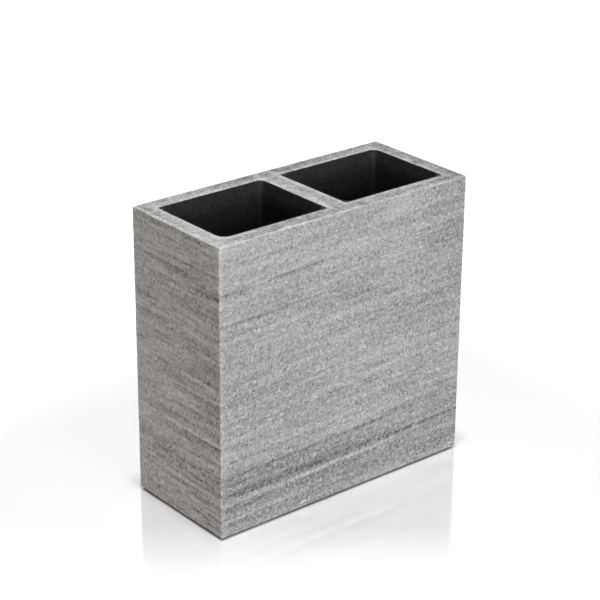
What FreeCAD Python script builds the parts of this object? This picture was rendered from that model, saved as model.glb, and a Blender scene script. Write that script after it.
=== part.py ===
"""Free-standing stone toothbrush holder: a block with two lined pockets, on four thin pads.

Millimetres, +Z up. The origin is on the surface that the holder stands on, under the middle of
the block. X runs along the block's width and the front is towards -Y.
"""

import FreeCAD
import Part
import Sketcher

import math
import os

SIZES = {
    # Stone block
    "block_width": 108.0,
    "block_depth": 47.5,
    "block_height": 105.4,
    "edge_radius": 0.5,  # worn outer edges
    # Pockets cut down into the block, side by side
    "side_wall": 6.0,  # left and right of the pockets
    "face_wall": 6.0,  # in front of the pockets and behind them
    "divider": 8.0,  # between the pockets
    "pocket_floor": 10.0,  # stone left under the pockets
    "pocket_radius": 1.0,  # upright corners
    "pocket_floor_radius": 0.6,
    "mouth_bevel": 0.2,  # eased edge round each mouth
    # Liner cups that drop into the pockets
    "liner_clearance": 0.2,  # all round, at the mouth
    "liner_recess": 0.1,  # liner's lip below the rim
    "liner_wall": 1.2,
    "liner_floor": 2.0,
    "liner_draft": 0.4,  # degrees; a cup is narrower at its foot
    "liner_inner_radius": 2.0,  # upright corners and floor, inside
    "liner_lip": 0.4,  # flat left on top of the wall
    "liner_lead_in": 4.0,  # height over which the wall thins towards the lip, inside
    # Round pads under the corners
    "pad_diameter": 10.0,
    "pad_height": 0.6,
    "pad_inset": 9.0,  # pad's centre from the block's faces
    "pad_bevel": 0.2,
}

# Sizes that follow from those above, as the sheet's expressions
POCKET_WIDTH = "(Sizes.block_width - 2 * Sizes.side_wall - Sizes.divider) / 2"
POCKET_DEPTH = "Sizes.block_depth - 2 * Sizes.face_wall"
POCKET_CENTRE = f"(Sizes.divider / 2 + ({POCKET_WIDTH}) / 2)"
LINER_WIDTH = f"{POCKET_WIDTH} - 2 * Sizes.liner_clearance"
LINER_DEPTH = f"{POCKET_DEPTH} - 2 * Sizes.liner_clearance"
LINER_HEIGHT = "Sizes.block_height - Sizes.pocket_floor - Sizes.liner_recess"
LINER_RADIUS = "Sizes.pocket_radius - Sizes.liner_clearance"
LINER_FOOT_RADIUS = "Sizes.pocket_floor_radius + Sizes.liner_clearance"
LEAD_IN_WIDTH = "max(Sizes.liner_wall - Sizes.liner_lip; Sizes.liner_wall / 3)"
INSIDE_HEIGHT = f"({LINER_HEIGHT} - Sizes.liner_floor)"
INSIDE_SETBACK = f"(Sizes.liner_wall + {INSIDE_HEIGHT} * tan(Sizes.liner_draft))"  # at the cup's floor
INSIDE_WIDTH = f"{LINER_WIDTH} - 2 * {INSIDE_SETBACK}"
INSIDE_DEPTH = f"{LINER_DEPTH} - 2 * {INSIDE_SETBACK}"

SIDES = {"left": -1, "right": 1}
ENDS = {"front": -1, "back": 1}
ORIGIN = -1  # a sketch's own origin, and its lines' ends
START = 1
END = 2
TOLERANCE = 1e-4
LEAST_CUT = 1.0  # cubic millimetres; a cut that removes less has missed the solid


def make_sheet(doc):
    """The spreadsheet of driving dimensions, one named cell each."""
    sheet = doc.addObject("Spreadsheet::Sheet", "Sizes")
    for row, (alias, value) in enumerate(SIZES.items(), start=1):
        sheet.set(f"A{row}", alias)
        sheet.set(f"B{row}", str(value))
        sheet.setAlias(f"B{row}", alias)
    doc.recompute()
    return sheet


def make_body(doc, label):
    """An empty body whose label names its piece."""
    body = doc.addObject("PartDesign::Body", label)
    body.Label = label
    return body


def origin_feature(body, role):
    """One of the body's own origin planes or axes."""
    return next(item for item in body.Origin.OriginFeatures if item.Role == role)


def add_sketch(body, name, plane):
    """An empty sketch on one of the body's own origin planes."""
    sketch = body.newObject("Sketcher::SketchObject", name)
    sketch.AttachmentSupport = [(origin_feature(body, plane), "")]
    sketch.MapMode = "FlatFace"
    return sketch


def bind_length(sketch, line, kind, label, size):
    """Ties a line's length to an expression, under a label."""
    length = sketch.Geometry[line].length()
    index = sketch.addConstraint(Sketcher.Constraint(kind, line, START, line, END, length))
    sketch.renameConstraint(index, label)
    sketch.setExpression(f"Constraints.{label}", size)


def draw_rectangle(sketch, width, height):
    """Draws a unit square, ties its sides to two expressions, and returns its first and third corners."""
    corners = [FreeCAD.Vector(x, y, 0) for x, y in ((0, 0), (1, 0), (1, 1), (0, 1))]
    ends = zip(corners, corners[1:] + corners[:1])
    lines = [sketch.addGeometry(Part.LineSegment(here, there), False) for here, there in ends]
    for line, following in zip(lines, lines[1:] + lines[:1]):
        sketch.addConstraint(Sketcher.Constraint("Coincident", line, END, following, START))
    first, second, third, fourth = lines
    for line in (first, third):
        sketch.addConstraint(Sketcher.Constraint("Horizontal", line))
    for line in (second, fourth):
        sketch.addConstraint(Sketcher.Constraint("Vertical", line))
    bind_length(sketch, first, "DistanceX", "width", width)
    bind_length(sketch, second, "DistanceY", "height", height)
    return (first, START), (third, START)


def add_outline(body, name, width, depth, level="0", centre_x="0"):
    """A level sketch of a rectangle about (centre_x, 0); all sizes are expressions."""
    sketch = add_sketch(body, name, "XY_Plane")
    sketch.setExpression("AttachmentOffset.Base.x", centre_x)
    sketch.setExpression("AttachmentOffset.Base.z", level)
    corner, opposite = draw_rectangle(sketch, width, depth)
    sketch.addConstraint(Sketcher.Constraint("Symmetric", *corner, *opposite, ORIGIN, START))
    return sketch


def add_pad(body, name, sketch, length):
    """A solid raised from a sketch."""
    pad = body.newObject("PartDesign::Pad", name)
    pad.Profile = sketch
    pad.setExpression("Length", length)
    body.Document.recompute()
    return pad


def add_pocket(body, name, sketch, length):
    """A hollow cut down from a sketch. It has to remove material."""
    before = body.Shape.Volume
    pocket = body.newObject("PartDesign::Pocket", name)
    pocket.Profile = sketch
    pocket.setExpression("Length", length)
    body.Document.recompute()
    if before - body.Shape.Volume < LEAST_CUT:
        raise RuntimeError(f"{name} cuts nothing out of {body.Label}")
    return pocket


def edge_names(base, wanted):
    """The names of the base feature's edges that the wanted test picks."""
    return [f"Edge{n}" for n, edge in enumerate(base.Shape.Edges, start=1) if wanted(edge)]


def face_names(base, wanted):
    """The names of the base feature's faces that the wanted test picks."""
    return [f"Face{n}" for n, face in enumerate(base.Shape.Faces, start=1) if wanted(face)]


def add_fillet(body, name, base, wanted, radius):
    """Rounds every edge of the base feature that the wanted test picks."""
    fillet = body.newObject("PartDesign::Fillet", name)
    fillet.Base = (base, edge_names(base, wanted))
    fillet.setExpression("Radius", radius)
    body.Document.recompute()
    return fillet


def add_chamfer(body, name, base, wanted, size):
    """Bevels every edge of the base feature that the wanted test picks."""
    chamfer = body.newObject("PartDesign::Chamfer", name)
    chamfer.Base = (base, edge_names(base, wanted))
    chamfer.setExpression("Size", size)
    body.Document.recompute()
    return chamfer


def add_lead_in(body, name, base, wanted, width, height):
    """Thins a wall towards its top: a bevel of that width on the top face and that height down the wall."""
    bevel = add_chamfer(body, name, base, wanted, width)
    bevel.ChamferType = "Two distances"
    bevel.setExpression("Size2", height)
    body.Document.recompute()
    return bevel


def add_draft(body, name, base, wanted, level, angle, widens):
    """Leans the picked walls about the level face there, so that the solid widens upwards or thins."""
    draft = body.newObject("PartDesign::Draft", name)
    draft.Base = (base, face_names(base, wanted))
    draft.NeutralPlane = (base, face_names(base, lambda face: is_level_face_at(face, level)))
    draft.Reversed = widens
    draft.setExpression("Angle", angle)
    body.Document.recompute()
    return draft


def is_upright(edge):
    """True for an edge that runs up the piece, straight or drafted."""
    run = edge.Vertexes[-1].Point - edge.Vertexes[0].Point
    return abs(run.z) > abs(run.x) + abs(run.y)


def is_level_at(edge, height):
    """True for an edge that lies in the level plane at that height."""
    points = [vertex.Point for vertex in edge.Vertexes] + [edge.CenterOfMass]
    return all(abs(point.z - height) < TOLERANCE for point in points)


def is_level_face_at(face, height):
    """True for a face that lies in the level plane at that height."""
    return face.BoundBox.ZLength < TOLERANCE and abs(face.CenterOfMass.z - height) < TOLERANCE


def is_wall(face):
    """True for a flat face that stands upright."""
    return isinstance(face.Surface, Part.Plane) and abs(face.Surface.Axis.z) < TOLERANCE


def is_within(item, half_width, half_depth):
    """True for an edge or face whose middle is inside that rectangle about the Z axis."""
    middle = item.CenterOfMass
    return abs(middle.x) < half_width and abs(middle.y) < half_depth


def make_stone_body(doc, sheet):
    """The block: worn outer edges, and two blind pockets with milled corners and eased mouths."""
    body = make_body(doc, "stone_body")
    outline = add_outline(body, "block_outline", "Sizes.block_width", "Sizes.block_depth")
    block = add_pad(body, "block", outline, "Sizes.block_height")
    tip = add_fillet(body, "worn_edges", block, lambda edge: True, "Sizes.edge_radius")

    for side, sign in SIDES.items():
        centre_x = f"{sign} * {POCKET_CENTRE}"
        mouth = add_outline(body, f"{side}_mouth", POCKET_WIDTH, POCKET_DEPTH, "Sizes.block_height", centre_x)
        tip = add_pocket(body, f"{side}_pocket", mouth, "Sizes.block_height - Sizes.pocket_floor")

    mid_wall_x = (sheet.block_width - sheet.side_wall) / 2
    mid_wall_y = (sheet.block_depth - sheet.face_wall) / 2

    def in_pockets(edge):
        return is_within(edge, mid_wall_x, mid_wall_y)

    def at_corner(edge):
        return in_pockets(edge) and is_upright(edge)

    def at_floor(edge):
        return in_pockets(edge) and is_level_at(edge, sheet.pocket_floor)

    def at_mouth(edge):
        return in_pockets(edge) and is_level_at(edge, sheet.block_height)

    tip = add_fillet(body, "pocket_corners", tip, at_corner, "Sizes.pocket_radius")
    tip = add_fillet(body, "pocket_floor_edges", tip, at_floor, "Sizes.pocket_floor_radius")
    add_chamfer(body, "eased_mouths", tip, at_mouth, "Sizes.mouth_bevel")
    body.setExpression("Placement.Base.z", "Sizes.pad_height")
    return body


def make_liner(doc, sheet, side, sign):
    """A drafted cup with an even wall that thins inside its lip, standing on its pocket's floor."""
    body = make_body(doc, f"{side}_liner")
    draft = "Sizes.liner_draft"
    outline = add_outline(body, "lip_outline", LINER_WIDTH, LINER_DEPTH)
    cup = add_pad(body, "cup", outline, LINER_HEIGHT)
    lip_level = cup.Length.Value
    tip = add_draft(body, "outside_draft", cup, is_wall, lip_level, draft, widens=True)
    tip = add_fillet(body, "corners", tip, is_upright, LINER_RADIUS)
    tip = add_fillet(body, "foot_edges", tip, lambda edge: is_level_at(edge, 0.0), LINER_FOOT_RADIUS)

    inside = add_outline(body, "inside_outline", INSIDE_WIDTH, INSIDE_DEPTH, LINER_HEIGHT)
    tip = add_pocket(body, "inside", inside, INSIDE_HEIGHT)
    tip = add_draft(body, "inside_draft", tip, is_wall, sheet.liner_floor, draft, widens=False)
    half_width = outline.getDatum("width").Value / 2
    half_depth = outline.getDatum("height").Value / 2

    def in_cup(edge):
        """True inside the middle of the cup's wall, which leans in towards the foot."""
        below_lip = lip_level - edge.CenterOfMass.z
        lean = sheet.liner_wall / 2 + below_lip * math.tan(math.radians(sheet.liner_draft))
        return is_within(edge, half_width - lean, half_depth - lean)

    def at_corner_or_floor(edge):
        return in_cup(edge) and (is_upright(edge) or is_level_at(edge, sheet.liner_floor))

    tip = add_fillet(body, "inside_edges", tip, at_corner_or_floor, "Sizes.liner_inner_radius")

    def at_inner_lip(edge):
        return in_cup(edge) and is_level_at(edge, lip_level)

    add_lead_in(body, "lead_in", tip, at_inner_lip, LEAD_IN_WIDTH, "Sizes.liner_lead_in")
    body.setExpression("Placement.Base.x", f"{sign} * {POCKET_CENTRE}")
    body.setExpression("Placement.Base.z", "Sizes.pad_height + Sizes.pocket_floor")
    return body


def make_foot_pad(doc, side, sign, end, direction):
    """A thin round pad, turned from its half section, stuck under one corner of the block."""
    body = make_body(doc, f"{end}_{side}_pad")
    section = add_sketch(body, "half_section", "XZ_Plane")
    corner, _ = draw_rectangle(section, "Sizes.pad_diameter / 2", "Sizes.pad_height")
    section.addConstraint(Sketcher.Constraint("Coincident", *corner, ORIGIN, START))
    disc = body.newObject("PartDesign::Revolution", "disc")
    disc.Profile = section
    disc.ReferenceAxis = (origin_feature(body, "Z_Axis"), [""])
    doc.recompute()

    def at_foot(edge):
        return is_level_at(edge, 0.0) and isinstance(edge.Curve, Part.Circle)

    add_chamfer(body, "bevelled_foot", disc, at_foot, "Sizes.pad_bevel")
    body.setExpression("Placement.Base.x", f"{sign} * (Sizes.block_width / 2 - Sizes.pad_inset)")
    body.setExpression("Placement.Base.y", f"{direction} * (Sizes.block_depth / 2 - Sizes.pad_inset)")
    return body


def check(doc, pieces):
    """Stops the build if an object failed or a piece isn't one sound solid."""
    doc.recompute()
    for item in doc.Objects:
        if {"Invalid", "Error"} & set(item.State):
            raise RuntimeError(f"{item.Label} failed: {item.State}")
    for piece in pieces:
        shape = piece.Shape
        if shape.isNull() or not shape.isValid() or len(shape.Solids) != 1:
            raise RuntimeError(f"{piece.Label} isn't one valid solid")


def write(pieces):
    """One STEP file for each piece, named after its label."""
    os.makedirs("parts", exist_ok=True)
    for piece in pieces:
        piece.Shape.exportStep(f"parts/{piece.Label}.step")
        box = piece.Shape.optimalBoundingBox()
        print(f"{piece.Label}: {box.XLength:.2f} x {box.YLength:.2f} x {box.ZLength:.2f} mm,", end=" ")
        print(f"z {box.ZMin:.2f} to {box.ZMax:.2f}, {piece.Shape.Volume / 1000:.2f} cm3")


def main():
    doc = FreeCAD.newDocument("toothbrush_holder")
    sheet = make_sheet(doc)
    pieces = [make_stone_body(doc, sheet)]
    pieces += [make_liner(doc, sheet, side, sign) for side, sign in SIDES.items()]
    for side, sign in SIDES.items():
        pieces += [make_foot_pad(doc, side, sign, end, direction) for end, direction in ENDS.items()]
    check(doc, pieces)
    write(pieces)


main()
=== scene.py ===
"""Looks of the stone toothbrush holder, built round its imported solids. Metres, +Z up, front towards -Y.

A layered grey sandstone block stands on four thin rubber pads. Two matte black cups line its pockets.
"""
import math

import bpy
import numpy as np
from mathutils import Matrix, Vector


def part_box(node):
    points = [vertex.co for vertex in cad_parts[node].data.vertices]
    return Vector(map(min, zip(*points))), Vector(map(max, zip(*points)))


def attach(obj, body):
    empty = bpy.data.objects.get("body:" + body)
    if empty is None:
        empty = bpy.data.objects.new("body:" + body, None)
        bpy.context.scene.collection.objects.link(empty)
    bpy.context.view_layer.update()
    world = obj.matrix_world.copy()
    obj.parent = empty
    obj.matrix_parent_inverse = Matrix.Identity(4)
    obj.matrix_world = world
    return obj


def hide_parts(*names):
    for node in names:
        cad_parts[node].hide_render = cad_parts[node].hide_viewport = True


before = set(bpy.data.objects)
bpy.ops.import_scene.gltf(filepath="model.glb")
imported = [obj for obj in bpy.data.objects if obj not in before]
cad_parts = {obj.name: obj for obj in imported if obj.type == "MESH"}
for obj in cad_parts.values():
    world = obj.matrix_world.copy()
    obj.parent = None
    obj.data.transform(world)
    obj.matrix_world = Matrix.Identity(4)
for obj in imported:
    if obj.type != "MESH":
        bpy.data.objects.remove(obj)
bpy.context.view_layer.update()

MM = 0.001

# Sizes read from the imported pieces
BLOCK_LOW, BLOCK_HIGH = (np.array(corner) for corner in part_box("stone_body"))
BLOCK_HALF = (BLOCK_HIGH - BLOCK_LOW)[:2] / 2
CUP_BOXES = {
    side: tuple(np.array(corner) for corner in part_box(f"{side}_liner"))
    for side in ("left", "right")
}
CUP_TOP = CUP_BOXES["left"][1][2]

# Stone block
CORNER_RADIUS = 0.5 * MM  # upright edges
EDGE_RADIUS = 0.4 * MM  # round the top and the underside
MOUTH_RADIUS = 0.2 * MM  # eased edge round each mouth
CUP_CLEARANCE = 0.2 * MM  # cup to pocket at the mouth
POCKET_FLOOR_RADIUS = 0.6 * MM

# Radii of each pocket's corners at its mouth: front right, back right, back left, front left
POCKET_CORNERS = {
    "left": np.array([1.0, 2.0, 1.0, 3.6]) * MM,
    "right": np.array([1.0, 2.8, 1.0, 1.0]) * MM,
}

# Liner cups
CUP_WALL = 1.2 * MM
CUP_FLOOR = 2.0 * MM
CUP_LEAN = math.tan(math.radians(0.4))
CUP_LIP = 0.4 * MM  # wall left at the lip
CUP_LEAD_IN = 4.0 * MM  # height over which the wall thins towards the lip, inside
CUP_LIP_ROUND = 0.1 * MM
CUP_FOOT_RADIUS = 0.8 * MM
CUP_INSIDE_RADIUS = 2.0 * MM
LEAST_CORNER = 0.1 * MM  # corner left in a cup's outline where its rounding meets its floor
CORNER_HIGHLIGHT_REACH = 26.0 * MM  # the painted highlight down each inside corner has faded out at this depth

# Mesh steps
COLUMN_STEP = 1.25 * MM  # round the block
BED_STEP = 0.4 * MM  # up the block's faces
RIM_ROWS = 10
POCKET_ROWS = 24
SPINE_ROWS = 6
SPINE_STOPS = 2  # either side of the middle
CORNER_COLUMNS = 5
ROUND_ROWS = 5
QUARTER_TURN = np.linspace(0.0, math.pi / 2, ROUND_ROWS)  # angles of a rounding's rows
SEAM_LEG = 3.0 * MM  # a square corner's legs on the divider's middle line
WELD = 1e-7  # points closer than about this become one
WORN_REACH = 2.0 * MM  # the relief is cut in the block's surfaces within this of its sides or its top

# Layers of the stone: they rise to the right, more steeply near the top
BED_RISE_LOW = math.tan(math.radians(1.0))
BED_RISE_HIGH = math.tan(math.radians(1.9))
BROAD_BED_HEIGHTS = (0.0, 6.0, 14.0, 21.0, 27.0, 45.0, 70.0, 84.0, 106.0)
BROAD_BED_TONES = (-0.12, -0.16, -0.17, -0.10, -0.02, 0.03, 0.015, 0.065, 0.095)

# Beds that stand out on a face: height at the face's left end, start and end as shares of its length,
# half thickness, and cut in millimetres, where a ridge has a negative cut.
FRONT_BEDS = (
    (14.9, -0.1, 0.75, 1.3, 0.13),
    (14.2, 0.62, 1.1, 0.5, 0.18),
    (12.5, -0.1, 0.74, 0.6, -0.28),
    (9.8, 0.0, 0.8, 1.2, 0.06),
    (6.3, -0.1, 0.34, 0.5, -0.20),
    (3.7, 0.40, 0.62, 0.4, 0.20),
    (22.2, -0.1, 1.1, 0.5, 0.15),
    (18.6, 0.3, 0.9, 0.5, -0.06),
    (31.4, -0.1, 0.10, 0.5, -0.16),
    (42.0, 0.1, 0.75, 0.4, -0.12),
    (36.2, 0.05, 0.30, 0.4, -0.09),
    (52.5, 0.1, 0.55, 0.8, 0.05),
    (60.5, 0.45, 1.1, 0.6, 0.05),
    (70.0, -0.1, 0.12, 0.6, 0.16),
    (68.8, 0.62, 0.78, 0.8, 0.10),
    (77.7, -0.1, 0.42, 0.45, 0.18),
    (80.2, 0.66, 1.1, 0.4, -0.10),
    (82.0, 0.80, 1.1, 0.6, 0.08),
    (88.8, -0.1, 0.14, 0.5, 0.20),
    (89.2, 0.16, 0.46, 0.5, 0.24),
    (88.0, 0.42, 0.60, 0.5, 0.10),
)
LEFT_BEDS = (
    (97.0, 0.1, 0.7, 0.5, -0.18),
    (95.2, 0.3, 1.1, 0.5, 0.15),
    (92.0, 0.1, 0.9, 0.5, 0.15),
    (88.0, 0.6, 1.1, 0.5, 0.18),
    (85.0, 0.3, 1.1, 0.5, -0.21),
    (80.0, 0.5, 1.1, 0.5, 0.15),
    (77.0, 0.0, 0.6, 0.5, 0.11),
    (71.0, 0.55, 1.1, 0.5, -0.24),
    (69.6, 0.6, 1.1, 0.5, 0.15),
    (63.0, 0.2, 0.8, 0.5, 0.11),
    (55.0, 0.4, 0.9, 0.5, -0.18),
    (49.5, 0.5, 1.1, 0.5, 0.15),
    (44.0, 0.5, 1.1, 0.5, -0.18),
    (42.6, 0.4, 1.1, 0.5, 0.12),
    (35.0, 0.35, 1.1, 0.5, -0.30),
    (33.6, 0.5, 1.1, 0.5, 0.18),
    (27.0, 0.6, 1.1, 0.5, 0.15),
    (24.0, 0.0, 0.7, 0.5, 0.11),
    (15.0, 0.3, 1.1, 0.5, -0.21),
    (8.0, 0.5, 1.1, 0.5, -0.15),
)
BED_FADE = 0.08  # share of a face's length over which a listed bed fades in and out
TONE_PER_CUT = 0.9  # change of tone per millimetre of a listed bed's cut

# Noise that reads as beds on the faces: cell along X, along Y and up in millimetres, weight, and seed
BED_NOISES = (
    ((45, 45, 6.0), 0.030, 11),
    ((24, 24, 2.2), 0.040, 12),
    ((14, 14, 1.0), 0.050, 13),
)
END_NOISE = ((9.0, 9.0, 0.8), 0.15, 14)  # added on the two ends
END_NOISE_LOSS = 0.5  # share of it lost towards the back
MEAN_WEAR = 0.06  # millimetres below the sawn face, on the faces and on the rim
WEAR_PER_BED = 0.4  # millimetres for each unit of the noise
TONE_PER_BED = 1.2
LEFT_BROAD_LOSS = 0.7  # share of the broad tones lost on the left end
LEFT_GRADIENT = 0.11  # the left end lightens by this towards the back

# The front is darker near its right end: start and run as shares of its length, then in millimetres up it
SHADE_ACROSS = (0.70, 0.20)
SHADE_UP = (20.0, 75.0)
SHADE_LOW, SHADE_MORE = 0.012, 0.092

# The front is paler at its left edge, partly with wear and partly with a painted highlight
LEFT_EDGE_TONE = 0.125
LEFT_EDGE_REACH = 3.2  # how far in that reaches, in millimetres

# Rim of the block, in millimetres: stripes along each wall, mottling, and tones
STRIPE_CELL, STRIPE_SEED = (22, 1.3, 40), 21
CROSS_STRIPE_CELL, CROSS_STRIPE_SEED = (1.3, 22, 40), 22
MOTTLE_CELL, MOTTLE_SEED = (1.9, 1.9, 40), 23
CORNER_BLEND = 2.0  # width over which one wall's stripes give way to the next one's
DIVIDER_HALF = 4.0
STRIPE_WEAR = 0.04
STRIPE_TONE, MOTTLE_TONE = 0.16, 0.20
FRONT_RIM_TONE, BACK_RIM_GAIN = -0.04, 0.02
# Painted light makes the rim's left end lighter, and painted shade makes its right end darker
LEFT_RIM_PAINTED_LIGHT, RIGHT_RIM_PAINTED_SHADE = 0.13, -0.06
END_RIM_FROM, END_RIM_RUN = 44.0, 6.0  # how far from the middle those start, and the run of their start
DIVIDER_TONE = 0.165
DIVIDER_TONE_TO, DIVIDER_TONE_RUN = 6.0, 3.0  # how far from the middle that ends, and the run of its end
WORN_TONE = 0.27  # worn edges of the rim are paler: round each mouth, along the front and on the left end
MOUTH_WORN, EDGE_WORN = 3.8, 2.5  # how far from those edges that reaches
UNWORN_TONE = -0.125

# Edges of the block
RIM_FROM, RIM_RUN = 0.3, 0.6  # a face turns into rim as its normal's upward part goes through this range
ARRIS_FULL = 0.29  # what the normal's largest part lacks of 1 half way round an edge
CHIP_CELL, CHIP_SEED = (2.6, 2.6, 2.6), 31
CHIP_FROM = 0.15  # noise below this leaves no chip
CHIP_DEPTH = 0.25  # millimetres
FRONT_ARRIS_HIGHLIGHT = 0.15  # painted highlight: the front's top edge is lighter towards the left
FRONT_ARRIS_FROM, FRONT_ARRIS_RUN = 0.30, 0.25  # that fades out over this run, as shares of its length

NOISE_TABLE = (64, 64, 256)


def ease(value):
    """Smooth step from 0 to 1 over the same interval."""
    share = np.clip(value, 0.0, 1.0)
    return share * share * (3.0 - 2.0 * share)


def lattice_noise(points, cell, seed):
    """Value noise from -1 to 1: seeded values on a lattice, eased between the eight nearest to a point."""
    table = np.random.default_rng(seed).uniform(-1.0, 1.0, NOISE_TABLE)
    scaled = points / (np.array(cell) * MM)
    base = np.floor(scaled).astype(int)
    share = ease(scaled - base)
    total = np.zeros(points.shape[:-1])
    for corner in np.ndindex(2, 2, 2):
        index = np.moveaxis((base + corner) % NOISE_TABLE, -1, 0)
        weight = np.where(corner, share, 1.0 - share).prod(axis=-1)
        total += weight * table[tuple(index)]
    return total


def bed_lines(beds, along, level):
    """Depth cut by the listed beds: each is a bell across its height that fades out at both ends."""
    depth = np.zeros_like(along)
    for height, start, end, half, cut in beds:
        across = np.exp(-(((level - height * MM) / (half * MM)) ** 2))
        span = ease((along - start) / BED_FADE) * ease((end - along) / BED_FADE)
        depth += cut * across * span
    return depth


def facing(normals, axis, sign):
    """How squarely normals face along an axis: their part along it, to the fourth power."""
    return np.clip(sign * normals[..., axis], 0, 1) ** 4


def face_relief(points, normals, across, inwards):
    """Wear in millimetres and tone of points on the block's upright faces.

    Noise stretched level reads as beds: it takes from the mean wear and adds to the tone. The listed beds
    are cut deeper and are darker, or stand out and are lighter. Broad tones follow the height.
    """
    x, y, z = np.moveaxis(points, -1, 0)
    share = (z - BLOCK_LOW[2]) / (BLOCK_HIGH[2] - BLOCK_LOW[2])
    rise = BED_RISE_LOW + (BED_RISE_HIGH - BED_RISE_LOW) * share
    level = z - rise * (x + BLOCK_HALF[0])
    bedded = np.stack([x, y, level], axis=-1)
    left, right = facing(normals, 0, -1), facing(normals, 0, 1)
    front, back = facing(normals, 1, -1), facing(normals, 1, 1)
    beds = sum(weight * lattice_noise(bedded, cell, seed) for cell, weight, seed in BED_NOISES)
    cell, weight, seed = END_NOISE
    ends = (left + right) * (1.0 - END_NOISE_LOSS * inwards)
    beds += weight * ends * lattice_noise(bedded, cell, seed)
    cuts = front * bed_lines(FRONT_BEDS, across, level)
    cuts += back * bed_lines(FRONT_BEDS, 1.0 - across, level)
    cuts += left * bed_lines(LEFT_BEDS, 1.0 - inwards, level)
    cuts += right * bed_lines(LEFT_BEDS, inwards, level)
    broad = (1.0 - LEFT_BROAD_LOSS * left) * np.interp(level / MM, BROAD_BED_HEIGHTS, BROAD_BED_TONES)
    to_right = ease((across - SHADE_ACROSS[0]) / SHADE_ACROSS[1])
    to_top = ease((level / MM - SHADE_UP[0]) / SHADE_UP[1])
    broad -= front * to_right * (SHADE_LOW + SHADE_MORE * to_top)
    # paler left edge of the front: partly wear, partly a painted highlight
    broad += LEFT_EDGE_TONE * front * (1.0 - ease((x + BLOCK_HALF[0]) / MM / LEFT_EDGE_REACH))
    tone = TONE_PER_BED * beds - TONE_PER_CUT * cuts + broad + left * LEFT_GRADIENT * (inwards - 0.5)
    return MEAN_WEAR - WEAR_PER_BED * beds + cuts, tone


def mouth_distance(x, y):
    """Level distance from the nearer cup's box, from how far a point is past its sides along X and Y."""
    distances = []
    for low, high in CUP_BOXES.values():
        aside = np.maximum(np.maximum(low[0] - x, x - high[0]), 0.0)
        beyond = np.maximum(np.maximum(low[1] - y, y - high[1]), 0.0)
        distances.append(np.hypot(aside, beyond))
    return np.minimum(*distances)


def rim_relief(points, inwards):
    """Wear in millimetres and tone of points on the rim.

    Stripes of noise run along each wall: they take from the mean wear, and with a finer mottling they make
    the tone. The rim is lighter towards the back, on the divider and at its worn edges; painted light
    makes its left end lighter and painted shade its right end darker.
    """
    x, y, _ = np.moveaxis(points, -1, 0)
    from_middle = np.abs(x) / MM
    nearness = (np.abs(y) - BLOCK_HALF[1] - np.abs(x) + BLOCK_HALF[0]) / MM
    lengthwise = ease(nearness / CORNER_BLEND + 0.5) * ease((from_middle - DIVIDER_HALF) / CORNER_BLEND)
    stripes = lengthwise * lattice_noise(points, STRIPE_CELL, STRIPE_SEED)
    stripes += (1 - lengthwise) * lattice_noise(points, CROSS_STRIPE_CELL, CROSS_STRIPE_SEED)
    mottle = lattice_noise(points, MOTTLE_CELL, MOTTLE_SEED)
    tone = STRIPE_TONE * stripes + MOTTLE_TONE * mottle + FRONT_RIM_TONE + BACK_RIM_GAIN * inwards
    # painted light on the rim's left end, painted shade on its right end
    end_painted_light = np.where(x < 0, LEFT_RIM_PAINTED_LIGHT, RIGHT_RIM_PAINTED_SHADE)
    tone += end_painted_light * ease((from_middle - END_RIM_FROM) / END_RIM_RUN)
    tone += DIVIDER_TONE * ease((DIVIDER_TONE_TO - from_middle) / DIVIDER_TONE_RUN)
    edge = np.minimum(x + BLOCK_HALF[0], y + BLOCK_HALF[1]) / MM
    worn = 2.0 - ease(mouth_distance(x, y) / MM / MOUTH_WORN) - ease(edge / EDGE_WORN)
    tone += WORN_TONE * worn + UNWORN_TONE
    return MEAN_WEAR - STRIPE_WEAR * stripes, tone


def stone_relief(points, normals):
    """Depth in millimetres of each point below its sawn face, its layer tone, and its arris share.

    The relief of the faces turns into that of the rim with the normal. On an arris, noise adds chips. The
    layer tone also holds a painted highlight on the front's top and left edges.
    """
    across = points[..., 0] / BLOCK_HALF[0] / 2 + 0.5
    inwards = points[..., 1] / BLOCK_HALF[1] / 2 + 0.5
    face_wear, face_tone = face_relief(points, normals, across, inwards)
    rim_wear, rim_tone = rim_relief(points, inwards)
    up = ease((normals[..., 2] - RIM_FROM) / RIM_RUN)
    arris = np.clip((1.0 - np.abs(normals).max(axis=-1)) / ARRIS_FULL, 0.0, 1.0)
    chips = np.clip(lattice_noise(points, CHIP_CELL, CHIP_SEED) - CHIP_FROM, 0.0, 1.0)
    depth = (1 - up) * face_wear + up * rim_wear + CHIP_DEPTH * arris * chips
    # painted highlight along the front's top edge, fading out towards the right
    front_arris_highlight = np.clip(-2.0 * normals[..., 1] * normals[..., 2], 0.0, 1.0)
    to_left = 1.0 - ease((across - FRONT_ARRIS_FROM) / FRONT_ARRIS_RUN)
    tone = (1 - up) * face_tone + up * rim_tone + FRONT_ARRIS_HIGHLIGHT * front_arris_highlight * to_left
    return np.clip(depth, 0.0, None), tone, arris


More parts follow.
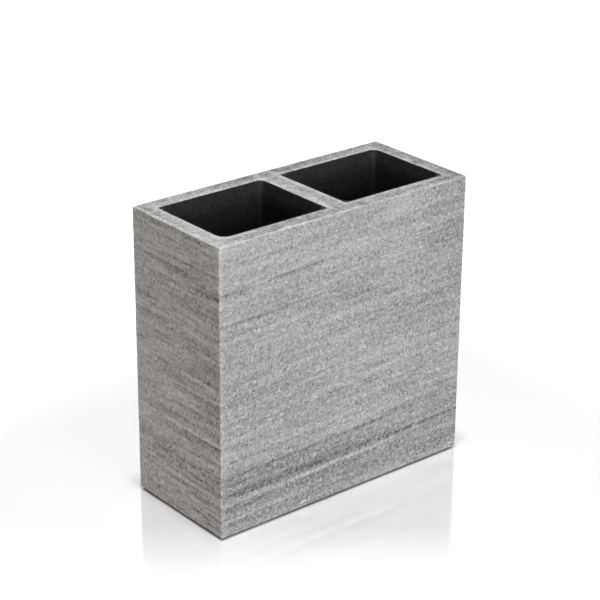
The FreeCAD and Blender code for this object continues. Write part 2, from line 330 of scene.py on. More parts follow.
def rectangle_loop(low, high, radii, square, steps):
    """Closed loop round a rectangle, counter-clockwise from its front left, and its outward normals.

    Each side is evenly divided. Each corner, in the order front right, back right, back left, front left,
    is an arc of its radius, or, where square says so, two legs of that length.
    """
    corners = np.array([(high[0], low[1]), (high[0], high[1]), (low[0], high[1]), (low[0], low[1])])
    outward = np.array([(0.0, -1.0), (1.0, 0.0), (0.0, 1.0), (-1.0, 0.0)])
    tangents = np.roll(outward, -1, axis=0)
    places, normals = [], []
    share = np.arange(1, CORNER_COLUMNS + 1)[:, None] / (CORNER_COLUMNS + 1)
    for side in range(4):
        here, there = corners[side - 1], corners[side]
        start = here + tangents[side] * radii[side - 1]
        end = there - tangents[side] * radii[side]
        places.append(start + (end - start) * np.linspace(0.0, 1.0, steps[side] + 1)[:, None])
        normals.append(np.repeat(outward[side][None], steps[side] + 1, axis=0))
        if square[side]:
            first = end + tangents[side] * radii[side] * np.minimum(2 * share, 1.0)
            places.append(first + outward[side] * -radii[side] * np.maximum(2 * share - 1.0, 0.0))
            normals.append(np.where(share <= 0.5, outward[side], outward[(side + 1) % 4]))
        else:
            turn = share * math.pi / 2
            radial = outward[side] * np.cos(turn) + tangents[side] * np.sin(turn)
            places.append(end - outward[side] * radii[side] + radial * radii[side])
            normals.append(radial)
    return np.concatenate(places), np.concatenate(normals)


def swept(loop, loop_normals, insets, heights, tilts):
    """A profile carried round a loop: each row is the loop moved in by its inset, at its height.

    The tilt is the angle of the row's normal above the level. Returns points and normals, rows by columns.
    """
    flat = loop[None] - insets[:, None, None] * loop_normals[None]
    lift = np.broadcast_to(heights[:, None, None], flat.shape[:2] + (1,))
    points = np.concatenate([flat, lift], axis=-1)
    level = np.cos(tilts)[:, None, None] * loop_normals[None]
    rise = np.broadcast_to(np.sin(tilts)[:, None, None], flat.shape[:2] + (1,))
    return points, np.concatenate([level, rise], axis=-1)


def to_spine(loop, low, high, height, upwards):
    """Flat rows that close a loop round a rectangle that is wider than deep.

    Each point slides straight to the nearest stop on the rectangle's middle line. The stops are further
    apart than the loop's points, so each is met from both sides.
    """
    middle = (low + high) / 2
    reach = ((high[0] - low[0]) - (high[1] - low[1])) / 2
    stop = np.round(np.clip((loop[:, 0] - middle[0]) / reach, -1.0, 1.0) * SPINE_STOPS) / SPINE_STOPS
    spine = np.stack([middle[0] + reach * stop, np.full(len(loop), middle[1])], axis=-1)
    share = np.linspace(0.0, 1.0, SPINE_ROWS + 1)[:, None, None]
    flat = loop[None] * (1 - share) + spine[None] * share
    points = np.concatenate([flat, np.full(flat.shape[:2] + (1,), height)], axis=-1)
    normals = np.zeros_like(points)
    normals[..., 2] = 1.0 if upwards else -1.0
    return points, normals


def grid_faces(rows, columns, offset, closed, flipped):
    """Quads between neighbouring rows and columns of a grid whose first point has the given number."""
    numbers = offset + np.arange(rows * columns).reshape(rows, columns)
    following = np.roll(numbers, -1, axis=1) if closed else numbers[:, 1:]
    here = numbers if closed else numbers[:, :-1]
    corners = [here[:-1], following[:-1], following[1:], here[1:]]
    quads = np.stack([corner.ravel() for corner in corners], axis=-1)
    return quads[:, [1, 0, 3, 2]] if flipped else quads


def weld(grids):
    """Joins grids into one set of points, normals and faces: points at one place become one point.

    Each grid is points, normals, closed and flipped. A quad whose last two points meet becomes a triangle.
    """
    points = np.concatenate([grid[0].reshape(-1, 3) for grid in grids])
    normals = np.concatenate([grid[1].reshape(-1, 3) for grid in grids])
    sizes = [grid[0].shape[0] * grid[0].shape[1] for grid in grids]
    offsets = np.cumsum([0] + sizes[:-1])
    faces = [
        grid_faces(grid[0].shape[0], grid[0].shape[1], offset, grid[2], grid[3])
        for grid, offset in zip(grids, offsets)
    ]
    keys = np.round(points / WELD).astype(np.int64)
    _, first, number = np.unique(keys, axis=0, return_index=True, return_inverse=True)
    quads = number.reshape(-1)[np.concatenate(faces)]
    meets = quads[:, 2] == quads[:, 3]
    return points[first], normals[first], quads[~meets], quads[meets][:, :3]


def make_mesh(name, points, quads, triangles, attributes, material):
    """A smooth mesh object at the origin from arrays of points and faces, with float point attributes."""
    mesh = bpy.data.meshes.new(name)
    mesh.from_pydata(points, [], quads.tolist() + triangles.tolist())
    mesh.polygons.foreach_set("use_smooth", np.ones(len(mesh.polygons), dtype=bool))
    for label, values in attributes.items():
        layer = mesh.attributes.new(label, "FLOAT", "POINT")
        layer.data.foreach_set("value", values.astype(np.float32))
    mesh.materials.append(material)
    mesh.update()
    piece = bpy.data.objects.new(name, mesh)
    bpy.context.scene.collection.objects.link(piece)
    return piece


def steps_along(length):
    """Number of column steps that divide a length."""
    return max(int(round(length / COLUMN_STEP)), 1)


def half_block_loops(side):
    """Rim loops of one half of the block: the half's own outline, and its pocket's outline.

    Both have as many points, side for side and corner for corner, so rows can be drawn between them.
    """
    low, high = CUP_BOXES[side]
    grow = np.array([CUP_CLEARANCE, CUP_CLEARANCE])
    pocket_low, pocket_high = low[:2] - grow, high[:2] + grow
    is_left = side == "left"
    half_low = np.array([-BLOCK_HALF[0] if is_left else 0.0, -BLOCK_HALF[1]])
    half_high = np.array([0.0 if is_left else BLOCK_HALF[0], BLOCK_HALF[1]])
    width = steps_along(BLOCK_HALF[0] - CORNER_RADIUS - SEAM_LEG)
    depth = steps_along(2 * (BLOCK_HALF[1] - CORNER_RADIUS))
    steps = (width, depth, width, depth)
    square = (True, True, False, False) if is_left else (False, False, True, True)
    outer_radii = [SEAM_LEG if corner else CORNER_RADIUS for corner in square]
    outer = rectangle_loop(half_low, half_high, outer_radii, square, steps)
    pocket = rectangle_loop(pocket_low, pocket_high, POCKET_CORNERS[side], (False,) * 4, steps)
    return outer, pocket, (pocket_low, pocket_high), steps


def outer_half(loop, normals, steps, side):
    """A half's outline on the block's own faces, from one end of the seam to just before the other."""
    lengths = [count + 1 + CORNER_COLUMNS for count in steps]
    middles = np.cumsum(lengths) - CORNER_COLUMNS + CORNER_COLUMNS // 2
    if side == "left":
        keep = np.arange(middles[1], middles[0] + len(loop))
    else:
        keep = np.arange(middles[3], middles[2] + len(loop))
    keep = keep % len(loop)
    return loop[keep], normals[keep]


def stone_grids():
    """Grids of the whole block: faces with rounded edges, underside, rims, pocket walls and floors."""
    halves = {side: half_block_loops(side) for side in ("right", "left")}
    parts = [outer_half(*halves[side][0], halves[side][3], side) for side in ("right", "left")]
    loop, normals = (np.concatenate(values) for values in zip(*parts))
    on_seam = np.abs(loop[:, 0]) < WELD
    seam_normals = np.stack([np.zeros(len(loop)), np.sign(loop[:, 1])], axis=-1)
    normals = np.where(on_seam[:, None], seam_normals, normals)

    turn = QUARTER_TURN
    wall = np.arange(BLOCK_LOW[2] + EDGE_RADIUS, BLOCK_HIGH[2] - EDGE_RADIUS, BED_STEP)[1:]
    foot_insets = EDGE_RADIUS * (1 - np.sin(turn))
    foot_heights = BLOCK_LOW[2] + EDGE_RADIUS * (1 - np.cos(turn))
    insets = np.concatenate([foot_insets, np.zeros(len(wall)), foot_insets[::-1]])
    top_heights = BLOCK_HIGH[2] - (foot_heights[::-1] - BLOCK_LOW[2])
    heights = np.concatenate([foot_heights, wall, top_heights])
    tilts = np.concatenate([turn - math.pi / 2, np.zeros(len(wall)), turn])
    faces = swept(loop, normals, insets, heights, tilts)
    grids = [(*faces, True, False)]
    foot = faces[0][0, :, :2]
    grids.append((*to_spine(foot, -BLOCK_HALF, BLOCK_HALF, BLOCK_LOW[2], False), True, True))
    for side in halves:
        grids += pocket_grids(*halves[side][:3])
    return grids


def pocket_grids(outer, pocket, pocket_box):
    """Grids of one half's rim, from the block's rounded edge to the mouth, and of its pocket's inside."""
    on_seam = np.abs(outer[0][:, 0]) < WELD
    rim_edge = outer[0] - EDGE_RADIUS * outer[1] * np.where(on_seam[:, None], (0.0, 1.0), (1.0, 1.0))
    rim_edge[:, 1] = np.clip(rim_edge[:, 1], -BLOCK_HALF[1] + EDGE_RADIUS, BLOCK_HALF[1] - EDGE_RADIUS)
    mouth = pocket[0] + MOUTH_RADIUS * pocket[1]
    share = np.linspace(0.0, 1.0, RIM_ROWS + 1)[:, None, None]
    flat = rim_edge[None] * (1 - share) + mouth[None] * share
    rim = np.concatenate([flat, np.full(flat.shape[:2] + (1,), BLOCK_HIGH[2])], axis=-1)
    upright = np.zeros_like(rim)
    upright[..., 2] = 1.0

    turn = QUARTER_TURN
    floor = CUP_BOXES["left"][0][2]
    mouth_insets = -MOUTH_RADIUS * (1 - np.sin(turn))
    mouth_heights = BLOCK_HIGH[2] - MOUTH_RADIUS * (1 - np.cos(turn))
    wall = np.linspace(BLOCK_HIGH[2] - MOUTH_RADIUS, floor + POCKET_FLOOR_RADIUS, POCKET_ROWS)[1:]
    floor_insets = POCKET_FLOOR_RADIUS * (1 - np.cos(turn))[1:]
    floor_heights = floor + POCKET_FLOOR_RADIUS * (1 - np.sin(turn))[1:]
    insets = np.concatenate([mouth_insets, np.zeros(len(wall)), floor_insets])
    heights = np.concatenate([mouth_heights, wall, floor_heights])
    tilts = np.concatenate([math.pi / 2 - turn, np.zeros(len(wall)), turn[1:]])
    inside = swept(pocket[0], -pocket[1], -insets, heights, tilts)
    closing = to_spine(inside[0][-1, :, :2], *pocket_box, floor, True)
    return [(rim, upright, True, False), (*inside, True, False), (*closing, True, False)]


def make_stone_body(material):
    """The block: welded grids worn inwards along their normals by the stone's relief."""
    points, normals, quads, triangles = weld(stone_grids())
    depth, tone, arris = stone_relief(points, normals)
    outside = (np.abs(points[:, :2]) > BLOCK_HALF - WORN_REACH).any(axis=-1)
    on_rim = points[:, 2] > BLOCK_HIGH[2] - WORN_REACH
    shown = np.where(outside | on_rim, 1.0, 0.0)
    worn = points - normals * (depth * shown * MM)[:, None]
    # The layer attribute also carries painted light and shade on the rim's ends and painted highlights on
    # the front's edges
    values = {"layer": tone, "arris": arris}
    piece = make_mesh("stone_block", worn, quads, triangles, values, material)
    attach(piece, "holder")
    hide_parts("stone_body")


def cup_outside(low, high):
    """Insets and heights of a cup's outside, before it leans, from its foot's rounding up to the lip."""
    turn = QUARTER_TURN
    foot_insets = CUP_FOOT_RADIUS * (1 - np.sin(turn))
    foot_heights = low[2] + CUP_FOOT_RADIUS * (1 - np.cos(turn))
    wall = np.linspace(low[2] + CUP_FOOT_RADIUS, high[2] - 2 * CUP_LIP_ROUND, POCKET_ROWS)[1:]
    lip_insets = CUP_LIP_ROUND * (1 - np.cos(turn))
    lip_heights = high[2] - CUP_LIP_ROUND * (1 - np.sin(turn))
    insets = np.concatenate([foot_insets, np.zeros(len(wall)), lip_insets])
    return insets, np.concatenate([foot_heights, wall, lip_heights])


def cup_inside(low, high):
    """Insets and heights of a cup's inside, before it leans, from the lip down to its floor's rounding.

    The wall thins towards the lip. The insets are from the line CUP_WALL in from the cup's outline there.
    """
    turn = QUARTER_TURN
    floor = low[2] + CUP_FLOOR
    lip_insets = CUP_LIP_ROUND * (np.sin(turn) - 1) - (CUP_WALL - CUP_LIP)
    lip_heights = high[2] - CUP_LIP_ROUND * (1 - np.cos(turn))
    lead = np.linspace(0.0, 1.0, ROUND_ROWS)[1:]
    lead_insets = (lead - 1) * (CUP_WALL - CUP_LIP)
    lead_heights = high[2] - CUP_LIP_ROUND - lead * (CUP_LEAD_IN - CUP_LIP_ROUND)
    wall = np.linspace(high[2] - CUP_LEAD_IN, floor + CUP_INSIDE_RADIUS, POCKET_ROWS)[1:]
    well_insets = CUP_INSIDE_RADIUS * (1 - np.cos(turn))[1:]
    well_heights = floor + CUP_INSIDE_RADIUS * (1 - np.sin(turn))[1:]
    insets = np.concatenate([lip_insets, lead_insets, np.zeros(len(wall)), well_insets])
    return insets, np.concatenate([lip_heights, lead_heights, wall, well_heights])


def cup_side(low, high, radii, steps, insets, heights):
    """One side of a cup's wall: each row is a rectangle with rounded corners, moved in by its inset.

    The wall leans in with its depth below the lip, which leaves the corners' radii as they are.
    """
    points, normals = [], []
    for inset, height in zip(insets, heights):
        reach = inset + (CUP_TOP - height) * CUP_LEAN
        row_radii = np.maximum(radii - inset, LEAST_CORNER)
        places, outward = rectangle_loop(low + reach, high - reach, row_radii, (False,) * 4, steps)
        points.append(np.column_stack([places, np.full(len(places), height)]))
        normals.append(np.column_stack([outward, np.zeros(len(places))]))
    return np.stack(points), np.stack(normals)


def make_cup(side, material):
    """A liner cup: a profile carried round a rectangle with rounded corners.

    The profile goes from the middle of the foot, up the leaning outside, over the thin lip, down the
    inside and back to the middle of the floor.
    """
    low, high = CUP_BOXES[side]
    radii = POCKET_CORNERS[side] - CUP_CLEARANCE
    steps = [steps_along(length) for length in (high - low)[[0, 1, 0, 1]]]
    outside = cup_side(low[:2], high[:2], radii, steps, *cup_outside(low, high))
    inner_low, inner_high = low[:2] + CUP_WALL, high[:2] - CUP_WALL
    inner_radii = np.maximum(radii - CUP_WALL, CUP_INSIDE_RADIUS)
    inside = cup_side(inner_low, inner_high, inner_radii, steps, *cup_inside(low, high))
    skin, skin_normals = (np.concatenate(parts) for parts in zip(outside, inside))
    foot = to_spine(skin[0, :, :2], low[:2], high[:2], low[2], False)
    well = to_spine(skin[-1, :, :2], low[:2], high[:2], low[2] + CUP_FLOOR, True)
    grids = [(skin, skin_normals, True, False), (*foot, True, True), (*well, True, False)]
    points, normals, quads, triangles = weld(grids)
    # Painted highlight down each inside corner of the cup, fading out with depth below the lip
    corner = np.minimum(np.abs(normals[:, 0]), np.abs(normals[:, 1])) / math.sqrt(0.5)
    painted_corner_highlight = corner ** 2 * ease(1.0 - (high[2] - points[:, 2]) / CORNER_HIGHLIGHT_REACH)
    piece = make_mesh(f"{side}_cup", points, quads, triangles, {"painted_corner_highlight": painted_corner_highlight}, material)
    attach(piece, f"{side}_liner")
    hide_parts(f"{side}_liner")


def new_material(name):
    """An empty node material and its tree, with a Principled shader on its output."""
    material = bpy.data.materials.new(name)
    material.use_nodes = True
    tree = material.node_tree
    tree.nodes.clear()
    shader = tree.nodes.new("ShaderNodeBsdfPrincipled")
    output = tree.nodes.new("ShaderNodeOutputMaterial")
    tree.links.new(shader.outputs["BSDF"], output.inputs["Surface"])
    return material, tree, shader


def math_node(tree, operation, first, second):
    """A Math node of two inputs, each a socket or a number, and its output."""
    node = tree.nodes.new("ShaderNodeMath")
    node.operation = operation
    for socket, value in zip(node.inputs, (first, second)):
        if isinstance(value, bpy.types.NodeSocket):
            tree.links.new(value, socket)
        else:
            socket.default_value = value
    return node.outputs["Value"]


def noise_node(tree, vector, scale, detail, roughness):
    """A Noise texture's value on a vector, where scale is a socket or a number."""
    node = tree.nodes.new("ShaderNodeTexNoise")
    node.inputs["Detail"].default_value = detail
    node.inputs["Roughness"].default_value = roughness
    tree.links.new(vector, node.inputs["Vector"])
    if isinstance(scale, bpy.types.NodeSocket):
        tree.links.new(scale, node.inputs["Scale"])
    else:
        node.inputs["Scale"].default_value = scale
    return node.outputs["Fac"]


def ranged(tree, value, low, high, smooth=True):
    """A value mapped from low..high to 0..1, eased at both ends or straight."""
    node = tree.nodes.new("ShaderNodeMapRange")
    node.interpolation_type = "SMOOTHSTEP" if smooth else "LINEAR"
    node.inputs["From Min"].default_value = low
    node.inputs["From Max"].default_value = high
    tree.links.new(value, node.inputs["Value"])
    return node.outputs["Result"]


# Grain: noise cells for each grain, the distance from a grain's middle over which a speck or pit fades,
# and the range of its random number over which a grain becomes a light speck or a dark pit
CLOUD_RATE = 0.75
GRAIN_MIDDLE = (0.2, 0.7)
SPECK_PICK = (0.80, 0.98)
PIT_PICK = (0.78, 0.96)


def make_grain_group():
    """Node group of mineral grain: a tone for each grain, sparse light specks and dark pits, and a height.

    Gather shifts which grains are picked: above 0 there are more dark pits and fewer light specks.
    """
    group = bpy.data.node_groups.new("mineral_grain", "ShaderNodeTree")
    group.interface.new_socket("Vector", in_out="INPUT", socket_type="NodeSocketVector")
    group.interface.new_socket("Grains per metre", in_out="INPUT", socket_type="NodeSocketFloat")
    group.interface.new_socket("Gather", in_out="INPUT", socket_type="NodeSocketFloat")
    for label in ("Grain", "Specks", "Pits", "Height"):
        group.interface.new_socket(label, in_out="OUTPUT", socket_type="NodeSocketFloat")
    given = group.nodes.new("NodeGroupInput")
    made = group.nodes.new("NodeGroupOutput")
    vector, rate = given.outputs["Vector"], given.outputs["Grains per metre"]
    cells = group.nodes.new("ShaderNodeTexVoronoi")
    group.links.new(vector, cells.inputs["Vector"])
    group.links.new(rate, cells.inputs["Scale"])
    pick = group.nodes.new("ShaderNodeSeparateColor")
    group.links.new(cells.outputs["Color"], pick.inputs["Color"])
    cloud = noise_node(group, vector, math_node(group, "MULTIPLY", rate, CLOUD_RATE), 0.0, 0.5)
    grain = weighted_sum(group, 0.0, ((pick.outputs["Blue"], 0.4), (cloud, 0.6)))
    middle = math_node(group, "SUBTRACT", 1.0, ranged(group, cells.outputs["Distance"], *GRAIN_MIDDLE))
    light = math_node(group, "SUBTRACT", pick.outputs["Red"], given.outputs["Gather"])
    dark = math_node(group, "ADD", pick.outputs["Green"], given.outputs["Gather"])
    specks = math_node(group, "MULTIPLY", middle, ranged(group, light, *SPECK_PICK))
    pits = math_node(group, "MULTIPLY", middle, ranged(group, dark, *PIT_PICK))
    rough = weighted_sum(group, grain, ((specks, 0.8), (pits, -1.0)))
    for label, value in {"Grain": grain, "Specks": specks, "Pits": pits, "Height": rough}.items():
        group.links.new(value, made.inputs[label])
    return group


def grain_of(tree, group, vector, grains_per_metre, gather=None):
    """The grain group placed in a material at its own size."""
    node = tree.nodes.new("ShaderNodeGroup")
    node.node_tree = group
    node.inputs["Grains per metre"].default_value = grains_per_metre
    tree.links.new(vector, node.inputs["Vector"])
    if gather is not None:
        tree.links.new(gather, node.inputs["Gather"])
    return node.outputs


def object_vector(tree):
    """Object coordinates, in metres."""
    return tree.nodes.new("ShaderNodeTexCoord").outputs["Object"]


def bedded_vector(tree, length, thickness):
    """Object coordinates tipped with the stone's beds, in units of a streak's length and thickness."""
    mapping = tree.nodes.new("ShaderNodeMapping")
    mapping.vector_type = "TEXTURE"
    mapping.inputs["Rotation"].default_value = (0.0, -math.atan((BED_RISE_LOW + BED_RISE_HIGH) / 2), 0.0)
    mapping.inputs["Scale"].default_value = (length, STREAK_DEPTH * length, thickness)
    tree.links.new(object_vector(tree), mapping.inputs["Vector"])
    return mapping.outputs["Vector"]


def attribute_value(tree, label):
    """A float attribute stored on the piece's points."""
    node = tree.nodes.new("ShaderNodeAttribute")
    node.attribute_name = label
    return node.outputs["Fac"]


def weighted_sum(tree, base, terms):
    """base + weight * value for each of the (value, weight) terms."""
    total = base
    for value, weight in terms:
        total = math_node(tree, "ADD", math_node(tree, "MULTIPLY", value, weight), total)
    return total


def colour_between(tree, share, dark, light):
    """Colour that runs from dark at 0 to light at 1."""
    ramp = tree.nodes.new("ShaderNodeValToRGB")
    ramp.color_ramp.elements[0].color = (*dark, 1.0)
    ramp.color_ramp.elements[1].color = (*light, 1.0)
    tree.links.new(share, ramp.inputs["Fac"])
    return ramp.outputs["Color"]


def add_bump(tree, shader, height, strength, distance):
    """Bumps the shader's normal by a height."""
    bump = tree.nodes.new("ShaderNodeBump")
    bump.inputs["Strength"].default_value = strength
    bump.inputs["Distance"].default_value = distance
    tree.links.new(height, bump.inputs["Height"])
    tree.links.new(bump.outputs["Normal"], shader.inputs["Normal"])


STONE_DARK = (0.105, 0.104, 0.102)
STONE_LIGHT = (0.690, 0.686, 0.676)
STONE_TONE = 0.5  # share of the light stone in an average grain
STONE_GRAINS = 1400.0  # per metre
STONE_PATCHES = 26.0  # per metre
STONE_BUMP = 0.0002
STREAK_DEPTH = 0.4  # length of a streak from front to back, as a share of its length along the block

# Streaks: length along the block and thickness in metres, noise detail, and weight in the tone
STREAKS = {
    "short": (0.010, 0.0009, 1.0, 0.16),
    "long": (0.040, 0.0014, 1.0, 0.24),
    "broad": (0.060, 0.0040, 2.0, 0.20),
}
STREAK_GATHER = 0.22  # how strongly pits keep to the dark streaks, and specks to the light ones


def make_stone_material(group):
    """Grey sandstone: grain with light specks and dark pits, level streaks, layers and arrises with wear
    and painted highlight.
    """
    material, tree, shader = new_material("layered_sandstone")
    place = object_vector(tree)
    streaks = {}
    for label, (length, thickness, detail, _) in STREAKS.items():
        streaks[label] = noise_node(tree, bedded_vector(tree, length, thickness), 1.0, detail, 0.5)
    patches = noise_node(tree, place, STONE_PATCHES, 2.0, 0.5)
    gathered = ((streaks["short"], -STREAK_GATHER), (streaks["long"], -STREAK_GATHER))
    grain = grain_of(tree, group, place, STONE_GRAINS, weighted_sum(tree, STREAK_GATHER, gathered))
    noises = [(grain["Grain"], 0.70), (patches, 0.12)]
    noises += [(streaks[label], STREAKS[label][3]) for label in STREAKS]
    base = STONE_TONE - sum(weight for _, weight in noises) / 2
    tone = weighted_sum(tree, base, (
        *noises,
        # the layer tone includes painted light and shade on the rim's ends and painted highlights on the
        # front's edges
        (attribute_value(tree, "layer"), 1.0),
        # paler arrises: partly wear, partly a painted highlight
        (attribute_value(tree, "arris"), 0.16),
        (grain["Specks"], 0.56),
        (grain["Pits"], -0.22),
    ))
    tree.links.new(colour_between(tree, tone, STONE_DARK, STONE_LIGHT), shader.inputs["Base Color"])
    shader.inputs["Roughness"].default_value = 0.92
    shader.inputs["Specular IOR Level"].default_value = 0.2
    height = weighted_sum(tree, 0.0, ((grain["Height"], 0.45), (streaks["short"], 0.35)))
    add_bump(tree, shader, height, 1.0, STONE_BUMP)
    return material


CUP_DARK = (0.012, 0.0118, 0.0116)
CUP_LIGHT = (0.078, 0.077, 0.077)
CUP_GRAINS = 1100.0  # per metre
CUP_CLOUDS = 90.0  # per metre
FINE_BUMP = 0.0001  # on cups and pads


def make_cup_material(group):
    """Matte black moulded plastic with a fine, faintly speckled grain, and a painted highlight down each
    inside corner.
    """
    material, tree, shader = new_material("matte_black_liner")
    place = object_vector(tree)
    grain = grain_of(tree, group, place, CUP_GRAINS)
    cloud = noise_node(tree, place, CUP_CLOUDS, 2.0, 0.5)
    tone = weighted_sum(tree, 0.05, (
        (grain["Grain"], 0.40),
        (cloud, 0.24),
        (grain["Specks"], 0.30),
        (grain["Pits"], -0.10),
        # painted highlight down each inside corner
        (attribute_value(tree, "painted_corner_highlight"), 0.45),
    ))
    tree.links.new(colour_between(tree, tone, CUP_DARK, CUP_LIGHT), shader.inputs["Base Color"])
    rough = weighted_sum(tree, 0.75, ((grain["Grain"], 0.2),))
    tree.links.new(rough, shader.inputs["Roughness"])
    shader.inputs["Specular IOR Level"].default_value = 0.02
    add_bump(tree, shader, grain["Height"], 0.25, FINE_BUMP)
    return material


PAD_DARK = (0.015, 0.015, 0.015)
PAD_LIGHT = (0.050, 0.049, 0.048)
PAD_GRAINS = 2200.0  # per metre


def make_pad_material(group):
    """Dull black rubber with a fine tooth."""
    material, tree, shader = new_material("dull_rubber")
    grain = grain_of(tree, group, object_vector(tree), PAD_GRAINS)
    tone = weighted_sum(tree, 0.0, ((grain["Grain"], 0.7), (grain["Specks"], 0.2)))
    tree.links.new(colour_between(tree, tone, PAD_DARK, PAD_LIGHT), shader.inputs["Base Color"])
    shader.inputs["Roughness"].default_value = 0.85
    shader.inputs["Specular IOR Level"].default_value = 0.3
    add_bump(tree, shader, grain["Height"], 0.3, FINE_BUMP)
    return material


def finish_pads(material):
    """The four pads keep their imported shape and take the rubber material."""
    for name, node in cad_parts.items():
        if name.endswith("_pad"):
            node.data.materials.clear()
            node.data.materials.append(material)


# Studio
FLOOR_HALF = 1.5
FLOOR_COLOUR = (0.78, 0.78, 0.78, 1.0)
FLOOR_GLOW = 0.40  # added where the camera or a reflection looks at the floor, so that it is white
FAR_GLOW = 0.55  # added to that away from the block
FAR_FROM, FAR_TO = 0.05, 0.13  # that glow fades in between these distances from the block
GLOW_EDGE = 0.0008  # the glow starts this far outside the block, so the gap under it stays dark
FLOOR_SHINE = 0.52  # share of reflection in the floor
SHINE_FROM, SHINE_TO = 0.042, 0.095  # it fades out between these distances towards the front left
SHINE_AZIMUTH = -40.0  # the way to the front left, in degrees
SHINE_ROUGHNESS = 0.10
WORLD_AMBIENT = 0.05


def seen_rays(tree):
    """1 for camera, glossy and transmission rays, and 0 for the rays that light the object."""
    path = tree.nodes.new("ShaderNodeLightPath").outputs
    mirrored = math_node(tree, "MAXIMUM", path["Is Glossy Ray"], path["Is Transmission Ray"])
    return math_node(tree, "MAXIMUM", path["Is Camera Ray"], mirrored)


def vector_math(tree, operation, first, second=None):
    """A Vector Math node on a socket and, where given, a constant vector."""
    node = tree.nodes.new("ShaderNodeVectorMath")
    node.operation = operation
    tree.links.new(first, node.inputs[0])
    if second is not None:
        node.inputs[1].default_value = second
    return node.outputs


def make_floor_material():
    """Pale floor: white to the camera, shaded at the block's foot, with a reflection that fades out."""
    material = bpy.data.materials.new("pale_floor")
    material.use_nodes = True
    tree = material.node_tree
    tree.nodes.clear()
    link = tree.links.new
    place = object_vector(tree)
    past_edge = vector_math(tree, "ABSOLUTE", place)["Vector"]
    past_edge = vector_math(tree, "SUBTRACT", past_edge, (*BLOCK_HALF, 0.0))["Vector"]
    past_edge = vector_math(tree, "MAXIMUM", past_edge, (0.0, 0.0, 0.0))["Vector"]
    distance = vector_math(tree, "LENGTH", past_edge)["Value"]
    turn = math.radians(SHINE_AZIMUTH)
    nearer = vector_math(tree, "DOT_PRODUCT", place, (math.sin(turn), -math.cos(turn), 0.0))["Value"]

    diffuse = tree.nodes.new("ShaderNodeBsdfDiffuse")
    diffuse.inputs["Color"].default_value = FLOOR_COLOUR
    glow = tree.nodes.new("ShaderNodeEmission")
    beside = math_node(tree, "MULTIPLY", ranged(tree, distance, 0.0, GLOW_EDGE), seen_rays(tree))
    level = weighted_sum(tree, FLOOR_GLOW, ((ranged(tree, distance, FAR_FROM, FAR_TO), FAR_GLOW),))
    link(math_node(tree, "MULTIPLY", beside, level), glow.inputs["Strength"])
    lit = tree.nodes.new("ShaderNodeAddShader")
    link(diffuse.outputs["BSDF"], lit.inputs[0])
    link(glow.outputs["Emission"], lit.inputs[1])
    gloss = tree.nodes.new("ShaderNodeBsdfGlossy")
    gloss.inputs["Color"].default_value = (1.0, 1.0, 1.0, 1.0)
    gloss.inputs["Roughness"].default_value = SHINE_ROUGHNESS
    shine = tree.nodes.new("ShaderNodeMixShader")
    near = math_node(tree, "SUBTRACT", 1.0, ranged(tree, nearer, SHINE_FROM, SHINE_TO, smooth=False))
    link(math_node(tree, "MULTIPLY", near, FLOOR_SHINE), shine.inputs["Fac"])
    link(lit.outputs["Shader"], shine.inputs[1])
    link(gloss.outputs["BSDF"], shine.inputs[2])
    output = tree.nodes.new("ShaderNodeOutputMaterial")
    link(shine.outputs["Shader"], output.inputs["Surface"])
    return material


def make_floor():
    """A flat square of floor, level with the pads' feet."""
    corners = FLOOR_HALF * np.array([(-1, -1, 0), (1, -1, 0), (1, 1, 0), (-1, 1, 0)], dtype=float)
    quads = np.array([(0, 1, 2, 3)])
    triangles = np.zeros((0, 3), int)
    floor = make_mesh("floor", corners, quads, triangles, {}, make_floor_material())


def make_world():
    """White to the camera and to reflections, and a low even light on the object."""
    world = bpy.data.worlds.new("studio")
    bpy.context.scene.world = world
    world.use_nodes = True
    tree = world.node_tree
    tree.nodes.clear()
    background = tree.nodes.new("ShaderNodeBackground")
    extra = math_node(tree, "MULTIPLY", seen_rays(tree), 1.0 - WORLD_AMBIENT)
    tree.links.new(math_node(tree, "ADD", extra, WORLD_AMBIENT), background.inputs["Strength"])
    output = tree.nodes.new("ShaderNodeOutputWorld")
    tree.links.new(background.outputs["Background"], output.inputs["Surface"])


def add_lamp(name, azimuth, elevation, distance, size, level, colour):
    """A softbox, size = (width, height), that looks at the block's middle from an azimuth and elevation.

    level is the brightness that it gives a white surface facing it, where 1 is white.
    """
    turn, rise = math.radians(azimuth), math.radians(elevation)
    outward = Vector((math.sin(turn) * math.cos(rise), -math.cos(turn) * math.cos(rise), math.sin(rise)))
    lamp = bpy.data.lights.new(name, "AREA")
    lamp.shape = "RECTANGLE"
    lamp.size, lamp.size_y = size
    lamp.energy = level * math.pi ** 2 * distance ** 2
    lamp.color = colour
    softbox = bpy.data.objects.new(name, lamp)
    middle = Vector((0.0, 0.0, (BLOCK_LOW[2] + BLOCK_HIGH[2]) / 2))
    softbox.location = middle + outward * distance
    softbox.rotation_mode = "QUATERNION"
    softbox.rotation_quaternion = outward.to_track_quat("Z", "Y")
    bpy.context.scene.collection.objects.link(softbox)


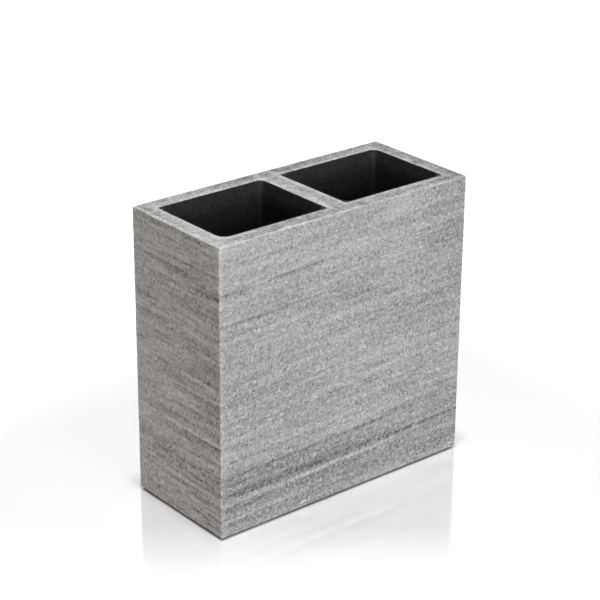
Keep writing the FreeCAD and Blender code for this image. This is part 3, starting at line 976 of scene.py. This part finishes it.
# Lamps: azimuth and elevation in degrees, distance, size, level and colour
LAMPS = {
    "front_softbox": (0, 16, 0.9, (0.40, 0.40), 0.48, (1.0, 1.0, 1.0)),
    "top_softbox": (-40, 86.5, 1.6, (0.12, 0.12), 0.86, (1.0, 0.998, 0.992)),
    "left_strip": (-95, 0, 0.9, (0.60, 0.10), 0.15, (1.0, 0.84, 0.74)),
}


def make_lamps():
    """A low softbox in front, one almost overhead, and a weak, warm, level strip on the left."""
    for name, settings in LAMPS.items():
        add_lamp(name, *settings)


# Camera, fitted to the block's edges in the photograph: angles in degrees, lens in millimetres
CAMERA_AZIMUTH = -39.65
CAMERA_ELEVATION = 23.49
CAMERA_ROLL = 0.42
CAMERA_DISTANCE = 0.6837
CAMERA_ASIDE = -0.00066
CAMERA_ABOVE = 0.01149
CAMERA_LENS = 117.23
AIM_HEIGHT = 0.053


def make_camera():
    """The photograph's camera: azimuth, elevation and roll about the block's middle, and a small shift."""
    angles = (CAMERA_AZIMUTH, CAMERA_ELEVATION, CAMERA_ROLL)
    turn, rise, roll = (math.radians(angle) for angle in angles)
    back = Vector((math.sin(turn) * math.cos(rise), -math.cos(turn) * math.cos(rise), math.sin(rise)))
    level = Vector((math.cos(turn), math.sin(turn), 0.0))
    upright = back.cross(level)
    right = level * math.cos(roll) + upright * math.sin(roll)
    up = upright * math.cos(roll) - level * math.sin(roll)
    data = bpy.data.cameras.new("camera")
    data.sensor_width = 36.0
    data.lens = CAMERA_LENS
    camera = bpy.data.objects.new("camera", data)
    place = Vector((0.0, 0.0, AIM_HEIGHT)) + back * CAMERA_DISTANCE
    place += right * CAMERA_ASIDE + up * CAMERA_ABOVE
    camera.matrix_world = Matrix.Translation(place) @ Matrix((right, up, back)).transposed().to_4x4()
    bpy.context.scene.collection.objects.link(camera)
    bpy.context.scene.camera = camera


def main():
    """The pieces with their materials, then the studio."""
    grain_group = make_grain_group()
    make_stone_body(make_stone_material(grain_group))
    cup_material = make_cup_material(grain_group)
    for side in CUP_BOXES:
        make_cup(side, cup_material)
    finish_pads(make_pad_material(grain_group))
    make_floor()
    make_world()
    make_lamps()
    make_camera()
    bpy.context.scene.view_settings.view_transform = "Standard"


main()
